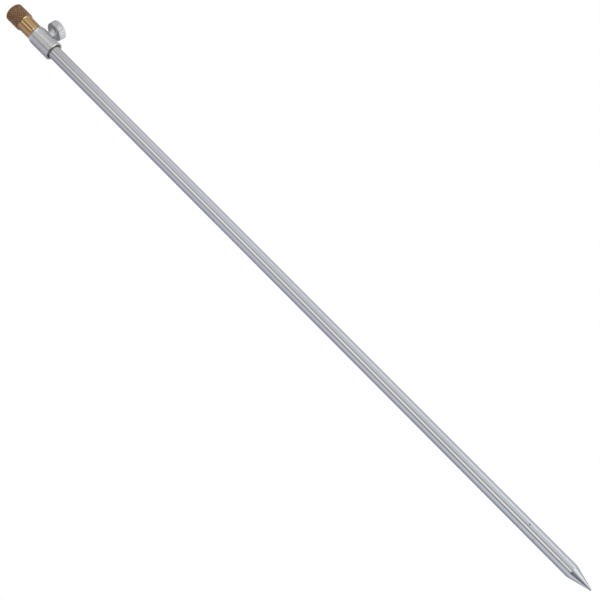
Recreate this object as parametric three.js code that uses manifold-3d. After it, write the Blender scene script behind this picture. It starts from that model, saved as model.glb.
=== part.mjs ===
// A telescopic bank stick, shoved shut: a tube with a turned point, a clamp collar with a thumb screw,
// and a thinner tube inside it that carries a knurled brass head with a threaded socket.
// Millimetres, +Z up. The origin is the point's tip, on the stick's axis. The thumb screw points along +X.
import * as THREE from "three";
import { mergeVertices } from "three/addons/utils/BufferGeometryUtils.js";
import Module from "manifold-3d";

// Turning and knurling
const knurlStarts = 24;
const knurlPitch = 3;
const knurlDepth = 0.45;
const roundSegments = 2 * knurlStarts;
const arcSteps = 4;
const quarterTurn = Math.PI / 2;

// Clearances and gaps
const gluedClearance = 0.05;
const plugClearance = 0.1;
const collarClearance = 0.2;
const threadClearance = 0.15;
const stemClearance = 0.1;
const seatGap = 0.1;
const restGap = 0.2;
const clampGap = 0.2;
const cutOverrun = 1;

// Outer tube
const tubeDiameter = 12;
const tubeWall = 0.9;
const tubeLength = 612.5;
const tubeEdge = 0.15;

// Ground spike
const spikeTipRadius = 0.95;
const coneLength = 20;
const coneEdgeRadius = 1.2;
const landLength = 11.6;
const spigotLength = 40;
const spigotChamfer = 1;

// Locking collar
const mouthRelief = 1.3;
const mouthRimWidth = 1.1;
const mouthChamfer = 0.3;
const mouthDepth = 4;
const collarSeatLength = 8.4;
const wallBelowScrew = 1.15;
const wallAboveScrew = 4.35;
const collarTopRoundWidth = 1;
const collarTopRoundLength = 3.6;
const collarBoreChamfer = 0.4;

// Inner tube and its end plug
const tubeSpacing = 0.6;
const innerTubeWall = 1;
const plugGuideLength = 20;
const plugSpigotLength = 14;
const plugChamfer = 0.8;
const plugRoomBelow = 8;

// Brass head
const neckWall = 2.95;
const neckLength = 14.2;
const neckFlareWidth = 0.2;
const neckFlareLength = 1.6;
const neckSocketDepth = 13.6;
const headStep = 1.2;
const headLength = 16.1;
const headLowerChamfer = 0.7;
const headEndRound = 1.8;
const socketMajorDiameter = 9.525;
const socketBoreDiameter = 8.3;
const socketDepth = 13;
const socketDrillPoint = 1.2;
const socketMouthClearance = 0.1;

// Thumb screw and its pad
const screwDiameter = 6;
const screwStandOff = 4.7;
const screwEndChamfer = 0.6;
const bossStep = 0.5;
const bossLength = 3.5;
const thumbDiameter = 17.4;
const thumbThickness = 7.4;
const thumbLowerChamfer = 0.8;
const thumbEndRound = 1.4;
const padThickness = 0.9;
const padRim = 0.7;
const padStemDiameter = 2.6;
const padStemLength = 4;
const padStemRoom = 0.5;

// Radii that follow from the sizes above
const tubeRadius = tubeDiameter / 2;
const tubeBoreRadius = tubeRadius - tubeWall;
const innerTubeRadius = tubeBoreRadius - tubeSpacing;
const innerTubeBoreRadius = innerTubeRadius - innerTubeWall;
const collarBoreRadius = innerTubeRadius + collarClearance;
const mouthRadius = tubeRadius + mouthRelief;
const mouthRimRadius = mouthRadius + mouthRimWidth;
const collarRadius = mouthRimRadius + mouthChamfer;
const neckSocketRadius = innerTubeRadius + gluedClearance;
const neckRadius = neckSocketRadius + neckWall;
const headRadius = neckRadius + headStep;
const screwRadius = screwDiameter / 2;
const screwHoleRadius = screwRadius + threadClearance;

// Heights on the stick's axis
const landTop = coneLength + landLength;
const spigotTop = landTop + spigotLength;
const tubeTop = landTop + tubeLength;
const collarShoulder = tubeTop + seatGap;
const mouthTop = collarShoulder - collarSeatLength;
const collarBottom = mouthTop - mouthDepth;
const screwHeight = collarShoulder + wallBelowScrew + screwHoleRadius;
const collarTop = screwHeight + screwHoleRadius + wallAboveScrew;
const neckBottom = collarTop + restGap;
const neckTop = neckBottom + neckLength;
const neckSocketTop = neckBottom + neckSocketDepth;
const headTop = neckTop + headLength;
const socketFloor = headTop - socketDepth;
const plugBottom = spigotTop + plugRoomBelow;
const plugTop = plugBottom + plugGuideLength;

// Places along the thumb screw, measured from the stick's axis
const padFace = innerTubeRadius + clampGap;
const padBack = padFace + padThickness;
const screwEnd = padBack + seatGap;
const thumbUnderside = collarRadius + screwStandOff;
const thumbTop = thumbUnderside + thumbThickness;

const wasm = await Module();
wasm.setup();

// A metal or a plastic of one colour, with the roughness of its finish.
function metal(color, roughness) {
  return new THREE.MeshStandardMaterial({ color, roughness, metalness: 1 });
}

function plastic(color, roughness) {
  return new THREE.MeshStandardMaterial({ color, roughness, metalness: 0 });
}

const aluminiumPolished = metal(0xc9cccd, 0.22);
const aluminiumTurned = metal(0xc4c7c8, 0.3);
const aluminiumSatin = metal(0xb5b8bc, 0.5);
const aluminiumKnurled = metal(0xbcbfc0, 0.35);
const brassTurned = metal(0xa8834f, 0.35);
const nylonNatural = plastic(0xe4e0d2, 0.55);

// A point of a turned profile: its distance from the axis and its place along it.
function at(radius, along) {
  return new THREE.Vector2(radius, along);
}

// Points of an arc of an ellipse in a profile, from one angle to another.
function arc(centre, width, length, from, to) {
  return new THREE.EllipseCurve(centre.x, centre.y, width, length, from, to, to < from).getPoints(arcSteps);
}

// A solid of revolution about Z. A profile starts and ends on the axis, or closes on itself.
function turned(profile) {
  return new THREE.LatheGeometry(profile, roundSegments).rotateX(quarterTurn);
}

// The profile's rows of a knurled band: two rows to a pitch, one on ridges and one between them.
function knurlRows(radius, from, to) {
  const steps = 2 * Math.max(1, Math.round((to - from) / knurlPitch));
  const rows = [];
  for (let row = 0; row <= steps; row += 1) {
    rows.push(at(radius, from + ((to - from) * row) / steps));
  }
  return rows;
}

// Cuts a diamond knurl into the rows of a turned piece's profile that start at firstRow. Every second
// vertex goes down by the knurl's depth, like the squares of a chessboard, and each pair of triangles
// is split along its low corners, so that every high vertex is the peak of one pyramid.
function cutKnurl(geometry, profile, firstRow, rowCount) {
  const position = geometry.getAttribute("position");
  const index = geometry.getIndex();
  for (let column = 0; column <= roundSegments; column += 1) {
    for (let row = 0; row < rowCount; row += 1) {
      if ((column + row) % 2 === 1) continue;
      const vertex = column * profile.length + firstRow + row;
      const radius = profile[firstRow + row].x;
      const lowered = (radius - knurlDepth) / radius;
      position.setXY(vertex, position.getX(vertex) * lowered, position.getY(vertex) * lowered);
    }
  }
  for (let column = 0; column < roundSegments; column += 1) {
    for (let row = 0; row < rowCount - 1; row += 1) {
      if ((column + row) % 2 === 1) continue;
      const lower = column * profile.length + firstRow + row;
      const lowerNext = lower + profile.length;
      const face = 6 * (column * (profile.length - 1) + firstRow + row);
      index.array.set([lower, lowerNext, lowerNext + 1, lowerNext + 1, lower + 1, lower], face);
    }
  }
  return geometry;
}

// A turned piece whose profile is lower, then a knurled band, then upper.
function turnedWithKnurl(lower, band, upper) {
  const profile = [...lower, ...band, ...upper];
  return cutKnurl(turned(profile), profile, lower.length, band.length);
}

// A geometry as a solid that can be cut.
function solidOf(geometry) {
  const bare = geometry.clone();
  bare.deleteAttribute("normal");
  bare.deleteAttribute("uv");
  const merged = mergeVertices(bare);
  return new wasm.Manifold(
    new wasm.Mesh({
      numProp: 3,
      vertProperties: merged.getAttribute("position").array,
      triVerts: new Uint32Array(merged.getIndex().array),
    }),
  );
}

// A cut solid as a geometry, with flat faces.
function geometryOf(solid) {
  const { vertProperties, triVerts } = solid.getMesh();
  const shared = new THREE.BufferGeometry();
  shared.setAttribute("position", new THREE.BufferAttribute(new Float32Array(vertProperties), 3));
  shared.setIndex(new THREE.BufferAttribute(new Uint32Array(triVerts), 1));
  const flat = shared.toNonIndexed();
  flat.computeVertexNormals();
  return flat;
}

// The point of the stick: a blunt cone, a short land as thick as the tube, and a spigot up into the tube.
function groundSpike() {
  const rise = coneLength - spikeTipRadius;
  const slant = Math.atan2(tubeRadius, rise) - Math.asin(spikeTipRadius / Math.hypot(tubeRadius, rise));
  const edgeReach = coneEdgeRadius * Math.tan(slant / 2);
  const edgeCentre = at(tubeRadius - coneEdgeRadius, coneLength + edgeReach);
  const spigotRadius = tubeBoreRadius - gluedClearance;
  return turned([
    ...arc(at(0, spikeTipRadius), spikeTipRadius, spikeTipRadius, -quarterTurn, -slant),
    ...arc(edgeCentre, coneEdgeRadius, coneEdgeRadius, -slant, 0),
    at(tubeRadius, landTop - tubeEdge),
    at(tubeRadius - tubeEdge, landTop),
    at(spigotRadius, landTop),
    at(spigotRadius, spigotTop - spigotChamfer),
    at(spigotRadius - spigotChamfer, spigotTop),
    at(0, spigotTop),
  ]);
}

// The outer tube, from the spike's land to the shoulder in the collar.
function outerTube() {
  return turned([
    at(tubeBoreRadius, landTop),
    at(tubeRadius - tubeEdge, landTop),
    at(tubeRadius, landTop + tubeEdge),
    at(tubeRadius, tubeTop - tubeEdge),
    at(tubeRadius - tubeEdge, tubeTop),
    at(tubeBoreRadius, tubeTop),
    at(tubeBoreRadius, landTop),
  ]);
}

// The collar: a relieved mouth and a seat for the outer tube below, a bore for the inner tube above,
// and a hole through one side for the thumb screw.
function lockingCollar() {
  const seatRadius = tubeRadius + gluedClearance;
  const topRadius = collarRadius - collarTopRoundWidth;
  const roundCentre = at(topRadius, collarTop - collarTopRoundLength);
  const body = turned([
    at(collarBoreRadius, collarShoulder),
    at(seatRadius, collarShoulder),
    at(seatRadius, mouthTop),
    at(mouthRadius, mouthTop),
    at(mouthRadius, collarBottom),
    at(mouthRimRadius, collarBottom),
    at(collarRadius, collarBottom + mouthChamfer),
    ...arc(roundCentre, collarTopRoundWidth, collarTopRoundLength, 0, quarterTurn),
    at(collarBoreRadius + collarBoreChamfer, collarTop),
    at(collarBoreRadius, collarTop - collarBoreChamfer),
    at(collarBoreRadius, collarShoulder),
  ]);
  const holeLength = collarRadius + cutOverrun;
  const hole = new THREE.CylinderGeometry(screwHoleRadius, screwHoleRadius, holeLength, roundSegments)
    .rotateZ(quarterTurn)
    .translate(holeLength / 2, 0, screwHeight);
  return geometryOf(solidOf(body).subtract(solidOf(hole)));
}

// The thumb screw, standing on Z: a drilled end, a shank, a domed boss under the head, and a knurled head.
function thumbScrew() {
  const stemHoleRadius = padStemDiameter / 2 + stemClearance;
  const stemHoleFloor = screwEnd + padStemLength + padStemRoom;
  const bossRadius = screwRadius + bossStep;
  const bossStart = Math.acos(screwRadius / bossRadius);
  const thumbRadius = thumbDiameter / 2;
  const rimRadius = thumbRadius - knurlDepth;
  const bandTop = thumbTop - thumbEndRound;
  const roundWidth = thumbEndRound - knurlDepth;
  return turnedWithKnurl(
    [
      at(0, stemHoleFloor),
      at(stemHoleRadius, stemHoleFloor),
      at(stemHoleRadius, screwEnd),
      at(screwRadius - screwEndChamfer, screwEnd),
      at(screwRadius, screwEnd + screwEndChamfer),
      ...arc(at(0, thumbUnderside), bossRadius, bossLength, -bossStart, 0),
      at(rimRadius - thumbLowerChamfer, thumbUnderside),
    ],
    knurlRows(thumbRadius, thumbUnderside + thumbLowerChamfer, bandTop),
    [
      ...arc(at(rimRadius - roundWidth, bandTop), roundWidth, thumbEndRound, 0, quarterTurn).slice(1),
      at(0, thumbTop),
    ],
  );
}

// The nylon pad: a disc that meets the inner tube, and a stem that turns in the screw's drilled end.
function clampPad() {
  const padRadius = screwRadius - padRim;
  const stemRadius = padStemDiameter / 2;
  const stemEnd = screwEnd + padStemLength;
  return turned([
    at(0, padFace),
    at(padRadius, padFace),
    at(padRadius, padBack),
    at(stemRadius, padBack),
    at(stemRadius, stemEnd),
    at(0, stemEnd),
  ]);
}

// The inner tube, from the end plug up into the head's neck.
function innerTube() {
  const bottom = plugTop + seatGap;
  const top = neckSocketTop - seatGap;
  return turned([
    at(innerTubeBoreRadius, bottom),
    at(innerTubeRadius - tubeEdge, bottom),
    at(innerTubeRadius, bottom + tubeEdge),
    at(innerTubeRadius, top - tubeEdge),
    at(innerTubeRadius - tubeEdge, top),
    at(innerTubeBoreRadius, top),
    at(innerTubeBoreRadius, bottom),
  ]);
}

// The nylon plug: a guide that runs in the outer tube, and a spigot pushed into the inner tube.
function endPlug() {
  const guideRadius = tubeBoreRadius - plugClearance;
  const spigotRadius = innerTubeBoreRadius - gluedClearance;
  const plugSpigotTop = plugTop + plugSpigotLength;
  return turned([
    at(0, plugBottom),
    at(guideRadius - plugChamfer, plugBottom),
    at(guideRadius, plugBottom + plugChamfer),
    at(guideRadius, plugTop),
    at(spigotRadius, plugTop),
    at(spigotRadius, plugSpigotTop - plugChamfer),
    at(spigotRadius - plugChamfer, plugSpigotTop),
    at(0, plugSpigotTop),
  ]);
}

// The brass head: a neck that holds the inner tube, and a knurled top with a threaded socket.
// The socket is bored at its tapping size, and its mouth is countersunk to the thread's major diameter.
function threadHead() {
  const flareRadius = neckRadius + neckFlareWidth;
  const lowerFlare = at(flareRadius, neckBottom + neckFlareLength);
  const upperFlare = at(flareRadius, neckTop - neckFlareLength);
  const bandTop = headTop - headEndRound;
  const roundWidth = headEndRound - knurlDepth;
  const socketRadius = socketBoreDiameter / 2;
  const mouthOfSocket = socketMajorDiameter / 2 + socketMouthClearance;
  return turnedWithKnurl(
    [
      at(0, neckSocketTop),
      at(neckSocketRadius, neckSocketTop),
      at(neckSocketRadius, neckBottom),
      ...arc(lowerFlare, neckFlareWidth, neckFlareLength, -quarterTurn, -Math.PI),
      ...arc(upperFlare, neckFlareWidth, neckFlareLength, Math.PI, quarterTurn),
    ],
    knurlRows(headRadius, neckTop + headLowerChamfer, bandTop),
    [
      ...arc(at(headRadius - headEndRound, bandTop), roundWidth, headEndRound, 0, quarterTurn).slice(1),
      at(mouthOfSocket, headTop),
      at(socketRadius, headTop - (mouthOfSocket - socketRadius)),
      at(socketRadius, socketFloor),
      at(0, socketFloor - socketDrillPoint),
    ],
  );
}

// A named piece of the stick.
function piece(name, geometry, material) {
  const mesh = new THREE.Mesh(geometry, material);
  mesh.name = name;
  return mesh;
}

const stick = new THREE.Group();
stick.add(
  piece("ground_spike", groundSpike(), aluminiumTurned),
  piece("outer_tube", outerTube(), aluminiumPolished),
  piece("locking_collar", lockingCollar(), aluminiumSatin),
  piece("inner_tube", innerTube(), aluminiumPolished),
  piece("end_plug", endPlug(), nylonNatural),
  piece("thread_head", threadHead(), brassTurned),
);

// The screw and its pad are turned on Z and lie along X through the collar's side.
const clamp = new THREE.Group();
clamp.rotation.y = quarterTurn;
clamp.position.z = screwHeight;
clamp.add(
  piece("thumb_screw", thumbScrew(), aluminiumKnurled),
  piece("clamp_pad", clampPad(), nylonNatural),
);
stick.add(clamp);

export default stick;
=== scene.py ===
"""A telescopic bank stick in metal: polished tube, satin collar, knurled screw and brass head.

Metres, +Z up. The stick stands on its point at the origin, and its thumb screw points along +X.
Each visible piece is a surface of turning on a fine grid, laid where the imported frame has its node.
"""

import math

import bpy
import numpy as np
from bpy.props import FloatProperty, FloatVectorProperty, IntProperty, PointerProperty
from mathutils import Matrix, Vector


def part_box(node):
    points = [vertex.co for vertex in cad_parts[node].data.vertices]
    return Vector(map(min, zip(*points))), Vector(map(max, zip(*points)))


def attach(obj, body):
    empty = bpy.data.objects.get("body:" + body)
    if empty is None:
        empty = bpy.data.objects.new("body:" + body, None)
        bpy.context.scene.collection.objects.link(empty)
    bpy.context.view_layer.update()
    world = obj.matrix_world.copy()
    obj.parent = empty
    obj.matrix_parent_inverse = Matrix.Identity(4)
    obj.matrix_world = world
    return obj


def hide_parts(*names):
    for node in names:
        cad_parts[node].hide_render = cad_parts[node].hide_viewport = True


bl_info = {
    "name": "Bank Stick",
    "version": (1, 0, 0),
    "blender": (4, 5, 0),
    "location": "View3D > Sidebar > Bank Stick",
    "description": "Builds a telescopic bank stick round its packed frame",
    "category": "Add Mesh",
}

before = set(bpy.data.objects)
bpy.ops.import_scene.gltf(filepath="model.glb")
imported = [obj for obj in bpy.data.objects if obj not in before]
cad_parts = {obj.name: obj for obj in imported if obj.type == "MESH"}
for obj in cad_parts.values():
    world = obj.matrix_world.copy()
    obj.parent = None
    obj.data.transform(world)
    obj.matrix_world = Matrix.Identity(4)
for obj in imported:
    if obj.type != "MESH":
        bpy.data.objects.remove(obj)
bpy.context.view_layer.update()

# Steps of the grids: round a piece, along the collar's wall, in a cell of the knurl, in a thread's pitch
# and in a rounded corner or a turning ring.
TUBE_COLUMNS = 160
COLLAR_COLUMNS = 192
COLLAR_WALL_ROWS = 30
KNURL_CELL = 12
THREAD_ROWS = 10
ARC_STEPS = 6
# The least turn in radians that is rounded, the longest rounding as a share of a side, and how far beside
# it the next row lies, as a share of the rounding.
LEAST_TURN = 0.01
LONGEST_ROUNDING_SHARE = 0.4
SUPPORT_SHARE = 0.2
# How steeply a knurl's grooves fall, how far under its outline its faces lie, in depths of a groove, and
# how far a thread's wave swings before it is flattened.
KNURL_STEEPNESS = 1.5
KNURL_SKIN_SHARE = 0.02
KNURL_REACH_SHARE = 2
THREAD_SWING_SHARE = 0.65
# Where the collar's close rows start, in radii of the hole below its middle, and where the inner row lies
# on the screw's outer face, as a share of its radius.
HOLE_ROOM_SHARE = 1.4
INNER_ROW_SHARE = 0.3
# Edges of the drilled collar that turn by more than this stay sharp.
SHARP_ANGLE = math.radians(40)


def linear(code):
    """A hex sRGB colour as linear red, green and blue."""
    channels = [int(code[i : i + 2], 16) / 255 for i in (1, 3, 5)]
    return tuple(c / 12.92 if c <= 0.04045 else ((c + 0.055) / 1.055) ** 2.4 for c in channels)


def size(name, description, default):
    """A length in metres that a user may change."""
    return FloatProperty(
        name=name, description=description, default=default, min=0, unit="LENGTH", precision=5
    )


def colour(name, description, code):
    """A colour that a user may change, given as a hex sRGB value."""
    return FloatVectorProperty(
        name=name, description=description, default=linear(code), min=0, max=1, subtype="COLOR"
    )


def degrees(name, description, default):
    """An angle that a user may change, given in degrees."""
    return FloatProperty(
        name=name, description=description, default=math.radians(default), subtype="ANGLE"
    )


class BankStickSizes(bpy.types.PropertyGroup):
    """Sizes that the frame's boxes don't give."""

    edge: size("Edge", "Rounding on a turned edge", 0.00012)
    tube_wall: size("Tube wall", "Wall of the outer tube", 0.0009)
    inner_wall: size("Inner wall", "Wall of the inner tube", 0.001)
    spike_tip: size("Spike tip", "Radius of the spike's blunt tip", 0.00095)
    cone_length: size("Cone length", "Length of the spike's cone", 0.02)
    cone_edge: size("Cone edge", "Rounding between the spike's cone and its land", 0.0012)
    land_length: size("Land length", "Length of the spike's land", 0.0116)
    spigot_inset: size("Spigot inset", "How far the spigot's wall lies inside the land's", 0.00095)
    turning_pitch: size("Turning pitch", "Distance between the turning rings on the cone", 0.00074)
    turning_depth: size("Turning depth", "Depth of the turning rings on the cone", 0.00002)
    mouth_relief: size("Mouth relief", "Gap round the outer tube in the collar's mouth", 0.0013)
    mouth_rim: size("Mouth rim", "Width of the collar's flat rim", 0.0011)
    mouth_chamfer: size("Mouth chamfer", "Chamfer outside the collar's rim", 0.0003)
    mouth_depth: size("Mouth depth", "Depth of the relief in the collar's mouth", 0.004)
    seat_length: size("Seat length", "How far the outer tube goes in above the relief", 0.0084)
    collar_clearance: size("Collar clearance", "Gap between the collar and the inner tube", 0.0002)
    collar_round_width: size("Collar rounding width", "Width of the rounding on top of the collar", 0.001)
    collar_round_length: size("Collar rounding length", "Length of the rounding on top of the collar", 0.0036)
    screw_clearance: size("Screw clearance", "Gap round the screw in the collar's hole", 0.00015)
    glued_clearance: size("Glued clearance", "Gap in a glued joint", 0.00005)
    neck_step: size("Neck step", "How far the neck's wall lies inside the knurled head's", 0.0012)
    neck_length: size("Neck length", "Length of the brass neck", 0.0142)
    neck_socket: size("Neck socket", "Depth of the socket for the inner tube", 0.0136)
    flare_width: size("Flare width", "How far the neck widens at both ends", 0.0002)
    flare_length: size("Flare length", "Length of the neck's widening at each end", 0.0016)
    head_chamfer: size("Head chamfer", "Chamfer under the knurled head", 0.0007)
    head_round: size("Head rounding", "Rounding on top of the knurled head", 0.0018)
    socket_depth: size("Socket depth", "Depth of the threaded socket", 0.013)
    socket_point: size("Socket point", "Depth of the drill's point in the socket's floor", 0.0012)
    socket_major: size("Socket thread", "Major diameter of the socket's 3/8 in BSF thread", 0.009525)
    socket_minor: size("Socket minor", "Minor diameter of the socket's thread", 0.0083)
    socket_pitch: size("Socket pitch", "Pitch of the socket's thread, 20 to the inch", 0.00127)
    socket_lip: size("Socket lip", "How far the countersink goes past the thread", 0.0001)
    screw_diameter: size("Screw diameter", "Diameter of the thumb screw's shank", 0.006)
    screw_pitch: size("Screw pitch", "Pitch of the thumb screw's M6 thread", 0.001)
    screw_groove: size("Screw groove", "Depth of the thumb screw's thread", 0.00061)
    boss_step: size("Boss step", "How far the boss under the screw's head stands past the shank", 0.0005)
    boss_length: size("Boss length", "Height of the boss's dome over the whole of its width", 0.0035)
    thumb_thickness: size("Thumb thickness", "Thickness of the thumb screw's head", 0.0074)
    thumb_chamfer: size("Thumb chamfer", "Chamfer under the thumb screw's head", 0.0008)
    thumb_round: size("Thumb rounding", "Rounding on the thumb screw's outer edge", 0.0014)
    stem_hole: size("Stem hole", "Radius of the thumb screw's hole for the clamp pad's stem", 0.0014)
    stem_room: size("Stem room", "Room behind the clamp pad's stem", 0.0005)
    pad_stem: size("Pad stem", "Radius of the clamp pad's stem", 0.0013)
    pad_thickness: size("Pad thickness", "Thickness of the clamp pad's disc", 0.0009)
    plug_seat: size("Plug seat", "Gap between the end plug's guide and the inner tube", 0.0001)
    plug_round: size("Plug rounding", "Rounding on both ends of the end plug", 0.0008)
    knurl_starts: IntProperty(name="Knurl starts", description="Knurl grooves of one hand", default=24, min=6)
    knurl_pitch: size("Knurl pitch", "Distance along the axis between knurl grooves of one hand", 0.003)
    knurl_depth: size("Knurl depth", "Depth of the knurl's grooves", 0.00045)


class BankStickColours(bpy.types.PropertyGroup):
    """Colours of the finishes."""

    tube: colour("Tube", "Polished aluminium tube", "#EDEEF0")
    spike: colour("Spike", "Bright turned aluminium", "#E9EAEC")
    collar: colour("Collar", "Satin turned aluminium", "#DDDDDE")
    # The mouth's colours: a warm tint on the flat rim, and painted shade inside, light just within and dark
    # brown deep in.
    mouth_rim: colour("Mouth rim", "Thin grime on the collar's flat rim", "#D9D7CE")
    mouth_shade_light: colour("Mouth wall", "Light grime just inside the collar's mouth", "#F4EAD2")
    mouth_shade_dark: colour("Mouth depths", "Thick brown grime deep in the collar's mouth", "#3A3226")
    screw: colour("Screw", "Knurled aluminium", "#E2E3E2")
    # The boss is painted brighter than the rest of the screw, as a painted highlight.
    boss_painted_light: colour("Screw boss", "Turned aluminium under the thumb screw's head", "#F6F7F6")
    brass: colour("Brass", "Polished brass", "#DDB98A")
    brass_knurl: colour("Brass knurl", "Knurled brass, darker from handling", "#BC9673")
    brass_groove: colour("Brass groove", "Bottoms of the brass knurl's grooves", "#7A5A3E")
    nylon: colour("Nylon", "Natural nylon", "#E4E0D2")


class BankStickStudio(bpy.types.PropertyGroup):
    """The camera of the photograph, and the studio."""

    azimuth: degrees("Azimuth", "Side that the camera looks from", -29.5)
    elevation: degrees("Elevation", "Tilt of the line from the aim to the camera", -14)
    roll: degrees("Roll", "Turn of the camera about its own line", -44.92)
    distance: size("Distance", "From the aim to the camera", 1.1756)
    aim_height: size("Aim height", "Height of the camera's aim on the stick's axis", 0.3211)
    aim_side: FloatProperty(
        name="Aim side", description="How far the aim lies beside the axis", default=-0.00084, unit="LENGTH"
    )
    lens: FloatProperty(name="Lens", description="Focal length in millimetres on a 36 mm sensor", default=87)
    floor_radius: size("Floor radius", "Radius of the floor", 0.9)


def rounded_profile(corners):
    """A turned profile with its corners rounded.

    A corner is (radius, along, rounding). Each rounded corner becomes an arc that is tangent to both
    its sides, with one more point a little way down each side, so that the faces beside it stay flat
    when they are shaded smooth.
    """
    points = np.array([corner[:2] for corner in corners], float)
    profile = [points[0]]
    for index in range(1, len(points) - 1):
        here = points[index]
        back, ahead = points[index - 1] - here, points[index + 1] - here
        back_length, ahead_length = np.hypot(*back), np.hypot(*ahead)
        back, ahead = back / back_length, ahead / ahead_length
        turn = math.pi - math.acos(np.clip(back @ ahead, -1, 1))
        rounding = corners[index][2]
        if rounding == 0 or turn < LEAST_TURN:
            profile.append(here)
            continue
        reach = min(rounding * math.tan(turn / 2), LONGEST_ROUNDING_SHARE * min(back_length, ahead_length))
        centre = here + (back + ahead) / np.hypot(*(back + ahead)) * reach / math.sin(turn / 2)
        start, end = here + back * reach - centre, here + ahead * reach - centre
        share = np.linspace(0, 1, ARC_STEPS + 1)[:, None]
        arc = centre + (np.sin((1 - share) * turn) * start + np.sin(share * turn) * end) / math.sin(turn)
        support = SUPPORT_SHARE * reach
        profile += [arc[0] + back * support, *arc, arc[-1] + ahead * support]
    profile.append(points[-1])
    return np.array(profile)


def elliptic_arc(centre, width, length, start, end):
    """Points of an elliptic arc in a profile: the centre plus width times the cosine of an angle
    that runs from start to end, and length times its sine. Each is a corner with no rounding."""
    angle = np.linspace(start, end, 2 * ARC_STEPS + 1)
    points = np.stack([centre[0] + width * np.cos(angle), centre[1] + length * np.sin(angle)], 1)
    return [(radius, along, 0) for radius, along in points]


def groove_distance(turns):
    """How far a number is from the nearest whole number, doubled: 0 on a groove, 1 midway."""
    return 2 * np.abs(turns - np.round(turns))


def knurled_radius(radius, along, columns, starts, pitch, depth):
    """Radius of a diamond knurl on rows at the heights along.

    Two families of grooves wind round the axis, one of each hand. Their numbers at a point are
    its angle in starts plus or minus its height in pitches. The surface is full at radius midway
    between grooves, and falls towards the nearest one ever more steeply, by depth in all.
    """
    around = np.arange(columns)[None, :] * starts / columns
    up = along[:, None] / pitch
    ridge = np.minimum(groove_distance(around + up), groove_distance(around - up))
    return radius - depth * (1 - ridge) ** KNURL_STEEPNESS


def knurl_splits(along, columns, starts, pitch):
    """Which cells of a knurled grid are split from low right to high left: those whose nearest
    groove winds that way, so that every groove runs along edges."""
    around = (np.arange(columns)[None, :] + 0.5) * starts / columns
    up = ((along[1:] + along[:-1]) / 2)[:, None] / pitch
    return groove_distance(around + up) < groove_distance(around - up)


def threaded_radius(crest, along, columns, pitch, depth):
    """Radius of a thread on rows at the heights along.

    The thread is a wave whose phase is the height in pitches less the angle in turns, flattened
    on its crests and in its roots, and it fades out over half a pitch at both ends of the rows. A
    negative depth cuts outwards from a hole's wall.
    """
    turns = along[:, None] / pitch - np.arange(columns)[None, :] / columns
    wave = np.clip(0.5 - THREAD_SWING_SHARE * np.cos(2 * math.pi * turns), 0, 1)
    ends = np.minimum(along - along.min(), along.max() - along) / (pitch / 2)
    return crest - depth * wave * np.clip(ends, 0, 1)[:, None]


def grid_faces(rows, columns, closed, splits):
    """Triangles of a grid that closes round its columns, and round its rows too where closed.

    Each cell gives two triangles, split from low left to high right, or the other way in splits.
    """
    index = np.arange(rows * columns).reshape(rows, columns)
    lower = index if closed else index[:-1]
    upper = np.roll(index, -1, 0) if closed else index[1:]
    a, b = lower, np.roll(lower, -1, 1)
    d, c = upper, np.roll(upper, -1, 1)
    crossed = np.zeros(a.shape, bool)
    for first, mask in splits:
        crossed[first : first + len(mask)] = mask
    one = np.where(crossed[..., None], np.stack([a, b, d], -1), np.stack([a, b, c], -1))
    two = np.where(crossed[..., None], np.stack([b, c, d], -1), np.stack([a, c, d], -1))
    return np.concatenate([one.reshape(-1, 3), two.reshape(-1, 3)])


class Turning:
    """A turned piece's grid, built up row by row along its profile."""

    def __init__(self, columns):
        self.columns = columns
        self.radius = []
        self.along = []
        self.splits = []
        self.rows = 0

    def add(self, profile):
        """Adds plain rows from a profile of radius and height."""
        self.add_rows(np.repeat(profile[:, :1], self.columns, 1), profile[:, 1])

    def add_rows(self, radius, along, splits=None):
        """Adds rows whose radius differs round the axis."""
        if splits is not None:
            self.splits.append((self.rows, splits))
        self.radius.append(radius)
        self.along.append(along)
        self.rows += len(along)

    def surface(self, closed=False):
        """Vertices and triangles about Z: at each angle, the radius times its cosine and sine.
        A first or last row on the axis becomes one vertex."""
        radius = np.concatenate(self.radius)
        along = np.concatenate(self.along)
        angle = 2 * math.pi * np.arange(self.columns)[None, :] / self.columns
        height = np.broadcast_to(along[:, None], radius.shape)
        vertices = np.stack([radius * np.cos(angle), radius * np.sin(angle), height], -1).reshape(-1, 3)
        faces = grid_faces(self.rows, self.columns, closed, self.splits)
        if not closed:
            faces[faces < self.columns] = 0
            last = (self.rows - 1) * self.columns
            faces[faces >= last] = last
        a, b, c = faces.T
        faces = faces[(a != b) & (b != c) & (c != a)]
        used, faces = np.unique(faces, return_inverse=True)
        return vertices[used], faces.reshape(-1, 3)


def turned(columns, corners, closed=False):
    """Vertices and triangles of a piece turned from corners, as rounded_profile takes them. A closed
    profile ends on its first corner, which then gives one row."""
    turning = Turning(columns)
    profile = rounded_profile(corners)
    turning.add(profile[:-1] if closed else profile)
    return turning.surface(closed)


def along_x(vertices, height):
    """Vertices of a piece turned about Z, laid along X at a height."""
    return vertices[:, [2, 0, 1]] + [0, 0, height]


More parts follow.
